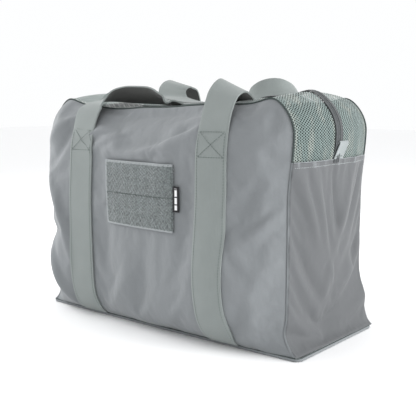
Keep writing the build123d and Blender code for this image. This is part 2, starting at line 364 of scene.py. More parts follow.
def applied(piece):
    # bakes the modifiers into the mesh
    bpy.context.view_layer.update()
    mesh = bpy.data.meshes.new_from_object(piece.evaluated_get(bpy.context.evaluated_depsgraph_get()))
    piece.modifiers.clear()
    piece.data = mesh
    return piece


def tubeFaces(count, around, closed):
    # quads round a tube, with a cap on each end unless it closes on itself
    faces = gridFaces(count, around, closed, True).tolist()
    if not closed:
        faces.append(list(range(around)))
        faces.append([(count - 1) * around + k for k in range(around)][::-1])
    return faces


def tube(name, path, radius, around, closed, material, up=(0, 0, 1)):
    # a ring of points carried along a path, square to it
    path = np.asarray(path, float)
    if closed:
        along = unit(np.roll(path, -1, 0) - np.roll(path, 1, 0))
    else:
        along = unit(np.gradient(path, axis=0))
    side = unit(np.cross(along, np.asarray(up, float)))
    rise = np.cross(side, along)
    angle = np.arange(around) / around * 2 * np.pi
    ring = side[:, None] * np.cos(angle)[None, :, None]
    ring = ring + rise[:, None] * np.sin(angle)[None, :, None]
    return build(name, path[:, None] + ring * radius, tubeFaces(len(path), around, closed), None, [material])


def stitchRow(name, path, normal, pitch, length, radius, material):
    # evenly spaced threads that dip into the cloth at both ends: a thin tube along each step
    path = np.asarray(path, float)
    normal = np.broadcast_to(np.asarray(normal, float), path.shape)
    gap = np.r_[0, np.cumsum(np.linalg.norm(np.diff(path, axis=0), axis=1))]
    places = np.arange(pitch / 2, gap[-1], pitch)
    turnPoints, around = 5, 6
    t = np.linspace(-0.5, 0.5, turnPoints)
    reach = places[:, None] + t[None] * length
    centre = np.stack([np.interp(reach, gap, path[:, k]) for k in range(3)], -1)
    out = unit(np.stack([np.interp(reach, gap, normal[:, k]) for k in range(3)], -1))
    along = unit(np.gradient(centre, axis=1))
    side = np.cross(along, out)
    arch = 1 - (2 * t) ** 2
    centre = centre + out * (radius * (arch * 1.6 - 1.0))[None, :, None]
    angle = np.arange(around) / around * 2 * np.pi
    thick = radius * (0.45 + 0.55 * arch)
    across, rise = np.cos(angle)[None, None, :, None], np.sin(angle)[None, None, :, None]
    ring = side[:, :, None] * across + out[:, :, None] * rise
    points = centre[:, :, None] + ring * thick[None, :, None, None]
    one = tubeFaces(turnPoints, around, False)
    step = turnPoints * around
    faces = [[k + start * step for k in face] for start in range(len(places)) for face in one]
    return build(name, points, faces, None, [material])


def attach(piece, body, slot, *nodes):
    # stands for the CAD nodes and moves with the body; the slot argument is not used
    if nodes:
        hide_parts(*nodes)
    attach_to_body(piece, body)


# the bag's outline, seen from the front and from the end
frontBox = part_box("front_panel")
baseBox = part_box("base_panel")
shape = dict(
    seamTop=frontBox[1].z,  # height of the top seams
    footHalf=frontBox[1].x + 0.006,  # half length on the ground
    depth=baseBox[1].y + 0.0004,  # half depth of the gusset
    waist=0.2405,  # half length at mid height
    shoulder=0.0075, shoulderStart=0.225, shoulderRise=0.095,  # the ends lean out towards the top corners
    radius=0.0425,  # top corners, seen from the front
    crown=0.0105,  # rise of the top between its two seams
    meshFoot=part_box("right_end_panel")[1].z,
    footSpread=0.006,  # the side panels stand wider apart at the ground
    footReach=0.0125,  # height over which the foot flares
    kink=0.004, kinkPlace=0.036, kinkReach=0.014,  # the ends' dent just above the foot
)
cornerX = shape["waist"] + shape["shoulder"] - shape["radius"]
cornerZ = shape["seamTop"] - shape["radius"]


def halfAt(z):
    # half length at a height: the waist, the lean to the shoulder, the flared foot and its kink
    z = np.asarray(z, float)
    flare = shape["footHalf"] - shape["waist"]
    straight = shape["waist"] + shape["shoulder"] * smooth((z - shape["shoulderStart"]) / shape["shoulderRise"])
    straight = straight + flare * np.exp(-z / shape["footReach"])
    straight = straight - shape["kink"] * bell((z - shape["kinkPlace"]) / shape["kinkReach"])
    arc = cornerX + np.sqrt(np.maximum(shape["radius"] ** 2 - np.maximum(z - cornerZ, 0) ** 2, 0))
    return np.where(z > cornerZ, arc, straight)


def depthAt(z):
    # half depth of the gusset at a height
    return shape["depth"] + shape["footSpread"] * np.exp(-np.asarray(z, float) / 0.03)


sag = dict(
    corner=0.0085, cornerPlace=0.212, cornerWidth=0.026,  # rise at both top corners
    dip=0.008, dipPlace=-0.095, dipWidth=0.062,  # the side seams' dip by the left strap
    lean=0.0045, leanPlace=0.01, leanWidth=0.06,  # and a smaller one in the middle
    middle=0.011,  # the mesh hangs between the straps
    leftSwell=0.0090,  # the left end stands fuller
    kick=0.012, kickPlace=0.042, kickHeight=0.036,  # the right back corner kicks out low down
)


def settled(points):
    # the top rises at the corners and sags between them, the left end swells and one low corner kicks out
    x, y, z = points[..., 0], points[..., 1], points[..., 2]
    share = np.minimum(np.abs(y) / shape["depth"], 1) ** 2
    lift = sag["corner"] * bell((np.abs(x) - sag["cornerPlace"]) / sag["cornerWidth"])
    dip = sag["dip"] * bell((x - sag["dipPlace"]) / sag["dipWidth"])
    dip = dip + sag["lean"] * bell((x - sag["leanPlace"]) / sag["leanWidth"])
    middle = sag["middle"] * smooth((x + 0.118) / 0.055) * (1 - smooth((x - 0.085) / 0.06))
    rise = (lift - dip * share - middle * (1 - share)) * smooth((z - 0.285) / 0.065)
    swell = sag["leftSwell"] * smooth((-x - 0.16) / 0.07) * smooth(z / 0.05) * (1 - smooth((z - 0.245) / 0.07))
    kick = sag["kick"] * smooth((x - 0.15) / 0.08) * smooth((y + 0.02) / 0.15)
    kick = kick * bell((z - sag["kickPlace"]) / sag["kickHeight"])
    return stack(x - swell + kick, y + kick * 0.5, z + rise)


def outlineCurve():
    # the outline's right half as a dense curve from the top middle to the ground
    top = np.stack([np.linspace(0, cornerX, 80), np.full(80, shape["seamTop"])], -1)
    angle = np.linspace(0, np.pi / 2, 50)[1:]
    arc = np.stack([cornerX + shape["radius"] * np.sin(angle), cornerZ + shape["radius"] * np.cos(angle)], -1)
    z = cornerZ * (1 - np.linspace(0, 1, 260)[1:] ** 0.8)
    curve = np.concatenate([top, arc, np.stack([halfAt(z), z], -1)])
    length = np.r_[0, np.cumsum(np.linalg.norm(np.diff(curve, axis=0), axis=1))]
    return curve, length


outline, outlineLength = outlineCurve()
outlineNormal = unit(np.stack([-np.gradient(outline[:, 1]), np.gradient(outline[:, 0])], -1))
outlineLines = np.concatenate([outline, outlineNormal], -1).T
meshEnd = float(np.interp(-shape["meshFoot"], -outline[:, 1], outlineLength))


def onOutline(length, y, lift):
    # a point of the gusset: distance along the outline from the top middle, place across, height above it
    x, z, nx, nz = (np.interp(length, outlineLength, line) for line in outlineLines)
    return stack(x + nx * lift, y, z + nz * lift)


def overTop(length, y, lift):
    # a settled point over the top: signed distance along the outline, place across, height above it
    flat = onOutline(np.abs(length), y, lift)
    sign = np.where(length < 0, -1.0, 1.0)
    return settled(stack(flat[..., 0] * sign, flat[..., 1], flat[..., 2]))


def crownAt(y):
    # the top's rise across the bag: a parabola
    return shape["crown"] * (1 - (y / shape["depth"]) ** 2)


# side panels: how each one bellies out, with its folds
frontBelly = dict(
    amount=0.053, power=4.0, leftPower=10.0, foot=0.022, head=18.0, slack=0.2, foldGain=1.5,
    lump=(0.165, 0.112, 0.062, 0.075, 0.017),          # x, z, width, height, depth
    # x, z, direction in degrees, half length, half width, height of each fold
    folds=[
        (-0.205, 0.215, -68, 0.06, 0.01, 0.006), (-0.18, 0.15, -78, 0.06, 0.008, 0.0045),
        (-0.214, 0.096, -58, 0.05, 0.009, 0.005), (-0.19, 0.048, -62, 0.05, 0.01, 0.006),
        (-0.226, 0.14, 15, 0.03, 0.012, -0.005), (-0.2, 0.315, 42, 0.04, 0.011, 0.005),
        (-0.185, 0.29, 52, 0.05, 0.01, -0.004), (-0.105, 0.322, 38, 0.038, 0.009, 0.004),
        (-0.07, 0.312, 30, 0.05, 0.008, 0.0035), (-0.09, 0.12, 80, 0.06, 0.018, -0.005),
        (-0.075, 0.07, 52, 0.06, 0.013, -0.0045), (-0.03, 0.085, 48, 0.05, 0.015, 0.0035),
        (0.06, 0.3, 75, 0.05, 0.018, 0.004), (0.095, 0.19, 84, 0.08, 0.012, -0.003),
        (0.192, 0.235, 66, 0.08, 0.013, -0.0045), (0.205, 0.27, 60, 0.06, 0.012, 0.004),
        (0.215, 0.19, 40, 0.035, 0.009, 0.0045), (0.205, 0.09, 74, 0.07, 0.012, 0.004),
        (0.18, 0.05, 58, 0.06, 0.014, -0.0045),
    ],
)
backBelly = dict(
    amount=0.055, power=4.0, leftPower=6.0, foot=0.022, head=16.0, slack=0.08, foldGain=1.4,
    lump=(-0.12, 0.12, 0.07, 0.08, 0.008),
    folds=[
        (0.205, 0.2, 70, 0.06, 0.011, 0.0055), (0.19, 0.11, 60, 0.06, 0.01, 0.005),
        (0.215, 0.3, -45, 0.045, 0.011, 0.0045), (0.07, 0.11, 76, 0.08, 0.018, -0.005),
        (0.0, 0.21, 84, 0.09, 0.02, 0.004), (-0.07, 0.13, -70, 0.07, 0.016, -0.0045),
        (-0.06, 0.31, -35, 0.045, 0.01, 0.004), (0.08, 0.316, 35, 0.04, 0.009, 0.0038),
        (-0.205, 0.22, -68, 0.07, 0.011, 0.0055), (-0.2, 0.09, -60, 0.055, 0.011, 0.005),
        (-0.212, 0.3, 48, 0.045, 0.01, -0.004),
    ],
)
bellies = {-1: frontBelly, 1: backBelly}


def bulgeAt(x, z, side):
    # fullness across times fullness up the panel, plus one lump and the folds, faded out at the seams
    belly = bellies[side]
    across = np.clip(np.abs(x) / halfAt(z), 0, 1)
    rise = 1 - np.exp(-np.maximum(z - 0.004, 0) / belly["foot"])
    fall = 1 - np.clip(z / shape["seamTop"], 0, 1) ** belly["head"]
    power = np.where(x < 0, belly["leftPower"], belly["power"])
    full = (1 - across ** power) * rise * fall
    slack = 1 - belly["slack"] * bell((x + 0.110) / 0.085)
    lx, lz, lw, lh, depth = belly["lump"]
    lump = depth * bell((x - lx) / lw) * bell((z - lz) / lh)
    folds = 0
    for fx, fz, degrees, length, width, height in belly["folds"]:
        c, s = np.cos(np.radians(degrees)), np.sin(np.radians(degrees))
        along = (x - fx) * c + (z - fz) * s
        off = (z - fz) * c - (x - fx) * s
        folds = folds + belly["foldGain"] * height * bell(along / length) * bell(off / width)
    fade = smooth((1 - across) / 0.10) * smooth(z / 0.03) * smooth((shape["seamTop"] - z) / 0.03)
    return full * (belly["amount"] * slack + lump) + folds * fade


def onPanel(x, z, side, lift=0.0):
    # a point of a side panel by its place along and up the bag, lifted outwards
    x, z = np.broadcast_arrays(np.asarray(x, float), np.asarray(z, float))
    return settled(stack(x, side * (depthAt(z) + bulgeAt(x, z, side) + lift), z))


def panelRows(count):
    # heights of the grid's rows: even up the side, then by angle round the corner
    straight = np.linspace(0.004, cornerZ, int(count * 0.8))
    angle = np.linspace(0, np.pi / 2, count - len(straight) + 1)[1:]
    return np.r_[straight, cornerZ + shape["radius"] * np.sin(angle)]


drape = dict(
    quality=5, mass=0.12, tension_stiffness=12, compression_stiffness=12, shear_stiffness=4, tension_damping=12,
    compression_damping=12, bending_damping=2, air_damping=4)
drapeFrames, drapeCap, drapeWeight = 24, 0.010, 0.15


def crumple(piece, sewn, grow, bending):
    # cloth with a little too much fabric, held where it is sewn, so that it buckles between the seams
    group = piece.vertex_groups.new(name="sewn")
    group.add(np.flatnonzero(np.ravel(sewn)).tolist(), 1.0, "REPLACE")
    made = piece.modifiers.new("cloth", "CLOTH")
    given(made.settings, **drape, bending_stiffness=bending, shrink_min=-grow, vertex_group_mass="sewn")
    made.settings.effector_weights.gravity = drapeWeight
    made.collision_settings.use_collision = False
    made.point_cache.frame_end = drapeFrames
    count = len(piece.data.vertices)
    before, after = np.empty(count * 3), np.empty(count * 3)
    piece.data.vertices.foreach_get("co", before)
    for step in range(1, drapeFrames + 1):
        bpy.context.scene.frame_set(step)
    moved = piece.evaluated_get(bpy.context.evaluated_depsgraph_get())
    moved.data.vertices.foreach_get("co", after)
    piece.modifiers.clear()
    move = (after - before).reshape(-1, 3)
    size = np.linalg.norm(move, axis=1, keepdims=True)
    move = move * np.minimum(1, drapeCap / np.maximum(size, 1e-9))
    piece.data.vertices.foreach_set("co", (before.reshape(-1, 3) + move).ravel())
    piece.data.update()
    bpy.context.scene.frame_set(1)
    print(piece.name, "settled, moved up to", round(float(size.max()) * 1000, 1), "mm")


strap = dict(
    width=0.050, thickness=0.0025, edge=0.0006, lift=0.0021,
    stitchTop=0.326, stitchFoot=0.007,  # the sewn leg's height range
    columns=15, legRows=90, handleRows=260,
    lean=0.0065, leanStart=0.19, leanRise=0.13,  # how far the front's left strap leans at its top
    bendStart=0.333, bendEnd=0.352,  # heights between which the webbing bends at the handle fold
)


def leaning(z, side):
    # the front's left strap is sewn a little out of upright
    return strap["lean"] * smooth((z - strap["leanStart"]) / strap["leanRise"]) * (side < 0)


panel = dict(columns=150, rows=110, thickness=0.0024, spare=0.009, bending=6.0, flat=(0.60, 0.47), area=0.215)
pinned = dict(strapHalf=0.0262, patchEdge=0.002, seamShare=0.98, foot=0.006, head=0.0012)
strapX = (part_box("front_right_strap")[0].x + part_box("front_right_strap")[1].x) / 2
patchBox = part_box("lower_loop_tape")[0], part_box("upper_loop_tape")[1]
patchX = patchBox[0].x - pinned["patchEdge"], labelBox[1].x + pinned["patchEdge"]
patchZ = patchBox[0].z - pinned["patchEdge"], patchBox[1].z + pinned["patchEdge"]
z = panelRows(panel["rows"])
across = np.linspace(-1, 1, panel["columns"])
for side, name in sides:
    rows, share = spread(z, across)
    half = halfAt(np.minimum(rows, shape["seamTop"] - 1e-6))
    x = share * half
    points = onPanel(x, rows, side)
    piece = sheetOf(f"{name}Panel", points, (x, rows), [cloth, lining], flip=side < 0)
    underStrap = np.abs(np.abs(x - leaning(rows, side) * (x < 0)) - strapX) < pinned["strapHalf"]
    underPatch = (x > patchX[0]) & (x < patchX[1]) & (rows > patchZ[0]) & (rows < patchZ[1]) & (side < 0)
    edges = (rows < pinned["foot"]) | (rows > shape["seamTop"] - pinned["head"])
    edges = edges | (np.abs(share) > pinned["seamShare"])
    crumple(piece, underStrap | underPatch | edges, panel["spare"], panel["bending"])
    thicken(piece, panel["thickness"], -1.0, 0.0, 1)
    attach(piece, "bag", "body_fabric", f"{name}_panel")
print("side panels made")


# ends, and the rim round the base
ends = dict(
    rows=100, columns=80, thickness=0.0024, spare=0.007, bending=6.0, seamShare=0.985, flat=(0.21, 0.285))
hem = dict(height=0.010, lift=0.0016, thickness=0.0016, edge=0.0005, stitchUp=0.002, stitchLift=0.0026)
# centre across, centre height, slope, half width, half height, height of each fold
endFolds = [
    (-0.62, 0.215, -5.0, 0.11, 0.06, 0.006), (-0.3, 0.2, -4.0, 0.1, 0.08, 0.0065),
    (0.05, 0.215, -3.0, 0.1, 0.065, -0.005), (0.34, 0.21, 3.0, 0.1, 0.075, 0.006),
    (0.66, 0.22, 4.5, 0.09, 0.06, -0.005), (0.8, 0.13, 2.0, 0.16, 0.02, -0.008),
    (0.55, 0.1, 9.0, 0.22, 0.03, 0.008), (-0.1, 0.085, 7.0, 0.16, 0.04, 0.006),
    (-0.45, 0.11, -6.0, 0.14, 0.05, -0.0045), (0.15, 0.045, 8.0, 0.25, 0.02, -0.0045),
]


def endLift(y, z, hand):
    # how far the end stands out of its outline: a crown that grows to the mesh, folds and small gathers
    crown = crownAt(y) * (0.25 + 0.75 * smooth((z - 0.12) / 0.15))
    t = y / shape["depth"] * hand
    gather = 0.0006 * np.sin(2 * np.pi * y / 0.026 + 2.3 * np.sin(y * 60))
    gather = gather * bell((shape["meshFoot"] - z) / 0.024)
    folds = 0
    for across, height, slope, width, tall, rise in endFolds:
        folds = folds + rise * bell((t - across - (z - height) * slope) / width) * bell((z - height) / tall)
    fade = smooth((1 - np.abs(y) / shape["depth"]) / 0.14) * smooth(z / 0.03)
    return crown + (folds + gather) * fade


for hand, name in hands:
    z = np.linspace(0.004, shape["meshFoot"] - 0.001, ends["rows"])
    rows, share = spread(z, np.linspace(-1, 1, ends["columns"]))
    y = share * depthAt(rows)
    x = hand * (halfAt(rows) + endLift(np.clip(y, -shape["depth"], shape["depth"]), rows, hand))
    points = settled(stack(x, y, rows))
    piece = sheetOf(f"{name}End", points, (y, rows), [cloth, lining], flip=hand < 0)
    edges = (rows < pinned["foot"]) | (rows > shape["meshFoot"] - hem["height"] - 0.001)
    edges = edges | (np.abs(share) > ends["seamShare"])
    crumple(piece, edges, ends["spare"], ends["bending"])
    thicken(piece, ends["thickness"], -1.0, 0.0, 1)
    attach(piece, "bag", "body_fabric", f"{name}_end_panel")
    # turned hem over the foot of the mesh
    z = np.linspace(shape["meshFoot"] - hem["height"], shape["meshFoot"], 8)
    rows, share = spread(z, np.linspace(-0.985, 0.985, 90))
    y = share * shape["depth"]
    x = hand * (halfAt(rows) + endLift(y, rows, hand) + hem["lift"])
    points = settled(stack(x, y, rows))
    piece = sheetOf(f"{name}Hem", points, (y, rows), [cloth], flip=hand < 0)
    thicken(piece, hem["thickness"], 0.0, hem["edge"])
    attach(piece, "bag", "body_fabric")
    y = np.linspace(-0.97, 0.97, 200) * shape["depth"]
    z = shape["meshFoot"] - hem["height"] + hem["stitchUp"]
    line = settled(stack(hand * (halfAt(z) + endLift(y, z, hand) + hem["stitchLift"]), y, z))
    row = stitchRow(f"{name}HemStitches", line, (hand, 0, 0), 0.0034, 0.0026, 0.00035, paleThread)
    attach(row, "bag", "body_fabric")

rim = dict(radius=0.0026, corner=0.010, bow=0.003, insetX=0.0035, insetY=0.0012, height=0.0027, wobble=0.0004)
groove = dict(radius=0.0007, height=0.0052, outX=1.004, outY=1.013)
halfLong = shape["footHalf"] - rim["insetX"]
halfDeep = float(depthAt(0.0)) - rim["insetY"]
angle = np.linspace(0, np.pi / 2, 12)
run = np.linspace(-1, 1, 120)[1:-1]
corner = rim["corner"]
cornerArc = corner * np.stack([np.cos(angle), np.sin(angle)], -1) + (halfLong - corner, halfDeep - corner)
backRun = np.stack([-run * (halfLong - corner), halfDeep + rim["bow"] * (1 - run ** 2)], -1)
leftRun = np.stack([np.full(60, -halfLong), np.linspace(1, -1, 62)[1:-1] * (halfDeep - corner)], -1)
loop = np.concatenate([
    cornerArc, backRun, cornerArc[::-1] * (-1, 1), leftRun,
    cornerArc * (-1, -1), backRun[::-1] * (1, -1), cornerArc[::-1] * (1, -1), leftRun[::-1] * (-1, 1)])
wobble = rim["wobble"] * np.sin(np.arange(len(loop)) * 0.9)
loopPath = stack(loop[:, 0], loop[:, 1], rim["height"] + np.abs(wobble))
attach(tube("baseRim", loopPath, rim["radius"], 10, True, cloth), "bag", "body_fabric")
# a thin dark cord in the groove just outside the rim: seam thread and painted shadow in the groove
groovePath = stack(loop[:, 0] * groove["outX"], loop[:, 1] * groove["outY"], groove["height"])
attach(tube("baseSeam", groovePath, groove["radius"], 6, True, seamAndShadowLook), "bag", "seam_tape")
print("ends and base made")


# mesh over the top, and the zipper
top = dict(
    flapHalf=0.188, bendEnd=0.243,  # where the flap's mesh ends, and where the bend into the corners ends
    marginEdge=0.079, underTape=0.002,  # the flap's hinge line, and how far the mesh runs under the tape
    seamGap=0.0004, footRun=0.004,
    marginFlat=(0.64, 0.025), flapFlat=(0.38, 0.072), cornerFlat=(0.135, 0.072),
)
zipper = dict(
    tapeHalf=0.010, gap=0.0005, tapeThickness=0.0010, tapeEdge=0.0003,
    coilPitch=0.0021, coilTurn=7, coilWire=0.00032, coilPlace=0.0012, coilWide=0.0010, coilHigh=0.0006)


def netSheet(name, lengths, ys, inward=False):
    # mesh over a stretch of the outline, between two distances from the middle line
    length, y = spread(lengths, ys)
    turned = (lengths[-1] < lengths[0]) ^ (ys[-1] < ys[0]) ^ inward
    return sheetOf(name, overTop(length, y, crownAt(y)), (length, y), [net], flip=turned)


def tapeStrip(name, lengths, side):
    # half of the zipper tape: flat and thin outside, rolled up over the coil at the middle
    profile = np.linspace(0, 1, 12)
    y = zipper["gap"] + (zipper["tapeHalf"] - zipper["gap"]) * profile
    lift = 0.0012 + 0.0010 * bell((profile - 0.16) / 0.22) - 0.0010 * bell(profile / 0.07)
    length, across = spread(lengths, np.arange(len(y)))
    points = overTop(length, side * y[across], crownAt(y[across]) + lift[across])
    turned = (lengths[-1] < lengths[0]) ^ (side > 0)
    piece = sheetOf(name, points, (length, y[across]), [zipCloth], flip=turned)
    return applied(thicken(piece, zipper["tapeThickness"], -1.0, zipper["tapeEdge"]))


def coilStrip(name, start, end, side, hand=1):
    # one half of the coil: a fine helix along the inner edge of the tape
    count = int((end - start) / zipper["coilPitch"] * zipper["coilTurn"])
    length = np.linspace(start, end, count) * hand
    angle = np.arange(count) / zipper["coilTurn"] * 2 * np.pi
    y = side * (zipper["gap"] + zipper["coilPlace"] + zipper["coilWide"] * np.cos(angle))
    lift = crownAt(y) - 0.0008 + zipper["coilHigh"] * np.sin(angle)
    return tube(name, overTop(length, y, lift), zipper["coilWire"], 4, False, coilLook)


middle = np.linspace(-top["flapHalf"], top["flapHalf"], 190)
cornerRun = np.linspace(top["flapHalf"] - 0.0005, meshEnd + top["footRun"], 90)
wholeRun = np.linspace(-(meshEnd + top["footRun"]), meshEnd + top["footRun"], 340)
for side, name in sides:
    flap = f"{name}_flap"
    marginAcross = np.linspace(shape["depth"] - top["seamGap"], top["marginEdge"], 12) * side
    flapAcross = np.linspace(top["marginEdge"], zipper["tapeHalf"] - top["underTape"], 30) * side
    margin = netSheet(f"{name}MeshMargin", wholeRun, marginAcross)
    attach(margin, "bag", "mesh", f"{name}_mesh_margin")
    flapNet = netSheet(f"{name}MeshFlap", middle, flapAcross)
    attach(flapNet, flap, "mesh", f"{name}_mesh_flap")
    attach(tapeStrip(f"{name}ZipperTape", middle, side), flap, "zipper_tape", f"{name}_zipper_tape")
    coil = coilStrip(f"{name}ZipperCoil", -top["flapHalf"], top["flapHalf"], side)
    attach(coil, flap, "zipper_coil", f"{name}_zipper_coil")
    for hand, end in hands:
        label = f"{end}{name.title()}"
        cornerNet = netSheet(f"{label}MeshCorner", cornerRun * hand, flapAcross, inward=True)
        endTape = tapeStrip(f"{label}EndTape", cornerRun * hand, side)
        endCoil = coilStrip(f"{label}EndCoil", top["flapHalf"], meshEnd, side, hand)
        for piece, node, slot in (
                (cornerNet, f"{name}_mesh_corner", "mesh"), (endTape, "zipper_end_tape", "zipper_tape"),
                (endCoil, "zipper_end_coil", "zipper_coil")):
            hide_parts(f"{end}_{node}")
            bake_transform(piece)
print("mesh and zipper made")


# seams along the outline; the dark cord on each top seam stands for the seam's dark thread and the shadow in
# its gap, partly painted shadow
seam = dict(darkRadius=0.0012, foldRadius=0.0010, lift=0.0006, out=0.0002, tape=0.010, tapeThickness=0.0012,
            inside=0.0050, wall=0.0035, foot=0.006, tapeFoot=0.020)
for side, name in sides:
    path = overTop(np.linspace(-meshEnd, meshEnd, 300), side * (shape["depth"] + seam["out"]), seam["lift"])
    cord = tube(f"{name}TopSeam", path, seam["darkRadius"], 8, False, seamAndShadowLook, up=(0, 1, 0))
    attach(cord, "bag", "seam_tape")
    for hand, end in hands:
        z = np.linspace(shape["meshFoot"], seam["foot"], 160)
        path = settled(stack(hand * (halfAt(z) + seam["out"]), side * (depthAt(z) + seam["out"]), z))
        fold = tube(f"{name}{end.title()}SideSeam", path, seam["foldRadius"], 8, False, cloth, up=(0, 1, 0))
        attach(fold, "bag", "body_fabric")
    # tape over the raw edges, inside the bag and all along the seam
    reach = float(np.interp(-seam["tapeFoot"], -outline[:, 1], outlineLength))
    length, inward = spread(np.linspace(-reach, reach, 260), np.linspace(0, 1, 4))
    height = np.interp(np.abs(length), outlineLength, outline[:, 1])
    y = side * (depthAt(height) - seam["wall"] - inward * seam["tape"])
    points = overTop(length, y, -seam["inside"])
    tape = sheetOf(f"{name}SeamTape", points, (length, y), [bindCloth], flip=side > 0)
    thicken(tape, seam["tapeThickness"], 0.0)
    attach(tape, "bag", "seam_tape", f"{name}_seam_tape")
print("seams made, tape length", round(2 * reach, 3))


def smoothRoute(points, count):
    # a curve through every point: cubic between neighbours, its slope taken from the points either side
    points = np.asarray(points, float)
    padded = np.concatenate([2 * points[:1] - points[1:2], points, 2 * points[-1:] - points[-2:-1]])
    span = np.linspace(0, len(points) - 1 - 1e-9, count)
    i = span.astype(int)
    t = (span - i)[:, None]
    a, b, c, d = padded[i], padded[i + 1], padded[i + 2], padded[i + 3]
    return 0.5 * (2 * b + (c - a) * t + (2 * a - 5 * b + 4 * c - d) * t ** 2 + (3 * b - a - 3 * c + d) * t ** 3)


# each handle's stations from left leg to right: centre in millimetres, then the direction of the width
frontRoute = [
    (-132, -139, 341, 0.99, 0, -0.08), (-131, -133, 350, 0.99, 0, -0.05),
    (-130, -124, 358, 0.99, -0.05, 0.07), (-125, -113, 365, 0.95, -0.16, 0.2),
    (-117, -102, 370, 0.86, -0.34, 0.3), (-104, -92, 373.5, 0.7, -0.55, 0.4),
    (-84, -83, 375, 0.45, -0.72, 0.5), (-57, -77, 374.5, 0.18, -0.82, 0.54),
    (-38, -75, 373.5, 0.06, -0.84, 0.54), (-25, -74, 371, 0.02, -0.86, 0.5),
    (-15, -73, 367, 0, -0.89, 0.45), (-8, -68, 362, 0, -0.96, 0.25),
    (10, -52, 360, 0, -1, 0), (34, -45, 360, 0, -1, 0),
    (60, -42, 361, 0, -1, 0), (84, -45, 364, -0.3, -0.95, 0.05),
    (106, -52, 369, -0.7, -0.65, 0.15), (122, -62, 375, -0.88, -0.3, 0.3),
    (132, -76, 382, -0.92, -0.05, 0.38), (136, -92, 387, -0.92, 0, 0.38),
    (138, -107, 384, -0.94, 0.05, 0.34), (139, -121, 375, -0.96, 0.03, 0.25),
    (140, -131, 362, -0.98, 0, 0.15), (140, -138, 349, -1, 0, 0.05),
]
backRoute = [
    (-139, 138, 346, 1, -0.03, 0), (-138, 131, 367, 1, -0.03, 0),
    (-135, 119, 386, 0.99, -0.08, 0), (-133, 101, 396, 0.95, -0.15, -0.2),
    (-130, 83, 395, 0.93, 0.1, -0.25), (-127, 68, 386, 0.9, 0.35, -0.2),
    (-116, 56, 374, 0.75, 0.65, 0), (-98, 48, 369, 0.4, 0.9, 0),
    (-60, 44, 363, 0.1, 0.99, 0), (-20, 42, 361, 0, 1, 0),
    (30, 42, 361, 0, 1, 0), (56, 46, 366, -0.2, 0.88, 0.35),
    (74, 56, 375, -0.35, 0.55, 0.75), (90, 68, 380, -0.4, 0.3, 0.85),
    (104, 80, 380, -0.45, 0.25, 0.85), (116, 95, 377, -0.65, 0.25, 0.7),
    (126, 110, 371, -0.85, 0.2, 0.45), (134, 126, 361, -0.96, 0.1, 0.25),
    (139, 137, 348, -1, 0, 0.05),
]


# rows round each join of leg and handle that are evened out, counted from the strap's foot
join = dict(start=76, end=116, centre=95, width=11.0, turns=60)


def strapSheet(route, side):
    # middle surface of one whole strap: up the left leg, over the handle, down the right leg
    share = np.linspace(-0.5, 0.5, strap["columns"])
    half = strap["columns"] // 2
    legZ = np.linspace(strap["stitchFoot"], strap["stitchTop"], strap["legRows"])
    rows, t = spread(legZ, share)
    left = onPanel(-strapX + t * strap["width"] + leaning(rows, side), rows, side, strap["lift"])
    right = onPanel(strapX - t * strap["width"], rows, side, strap["lift"])[::-1]
    route = np.array(route, float)
    centres, widths = route[:, :3] / 1000, unit(route[:, 3:])
    # the route runs on into both legs, 8 rows deep
    centres = np.concatenate([left[[-8, -1], half], centres, right[[0, 7], half]])
    level = np.array([[1.0, 0, 0]] * 2)
    widths = np.concatenate([level, widths, -level])
    count = strap["handleRows"]
    middle = smoothRoute(centres, count)
    width = smoothRoute(widths, count)
    along = unit(np.gradient(middle, axis=0))
    width = unit(width - along * (width * along).sum(-1, keepdims=True))
    handle = middle[:, None] + width[:, None] * (share * strap["width"])[None, :, None]
    overlap = int(count / (len(centres) - 1)) + 1
    whole = np.concatenate([left, handle[overlap:-overlap], right])
    # even out the joins between the sewn legs and the handle
    ease = np.zeros(len(whole))
    start, end = join["start"], join["end"]
    ease[start:end] = bell((np.arange(start, end) - join["centre"]) / join["width"])
    ease[-end:-start] = ease[start:end][::-1]
    for turn in range(join["turns"]):
        even = whole.copy()
        even[1:-1] = (whole[:-2] + whole[2:]) / 2
        whole = whole + (even - whole) * ease[:, None, None]
    length = np.r_[0, np.cumsum(np.linalg.norm(np.diff(whole[:, half], axis=0), axis=1))]
    u, v = spread(length, share * strap["width"])
    return whole, (v, u), length[-1]


for side, name, route in ((-1, "front", frontRoute), (1, "back", backRoute)):
    points, uv, total = strapSheet(route, side)
    # the second finish, on each strap's inner face, carries painted shade
    piece = sheetOf(f"{name}Strap", points, uv, [web, webPaintedShade], flip=side < 0)
    thicken(piece, strap["thickness"], 0.0, strap["edge"], 1)
    piece = applied(piece)
    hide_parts(f"{name}_handle", f"{name}_left_strap", f"{name}_right_strap")
    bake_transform(piece)
    print(name, "strap length", round(total, 3))

# the boxed cross on each leg, and the rows along its edges
box = dict(low=0.286, high=0.322, inset=0.0045, pitch=0.0042, radius=0.00042, edgeInset=0.0035, foot=0.010)
threadLift = strap["lift"] + strap["thickness"] / 2 + 0.0001


def sewn(name, x, z, side, material=threadLook, lift=threadLift, pitch=box["pitch"], radius=box["radius"]):
    # a row of stitches on a side panel
    path = onPanel(x, z, side, lift)
    attach(stitchRow(name, path, (0, side, 0.0), pitch, pitch * 0.8, radius, material), "bag", "body_fabric")


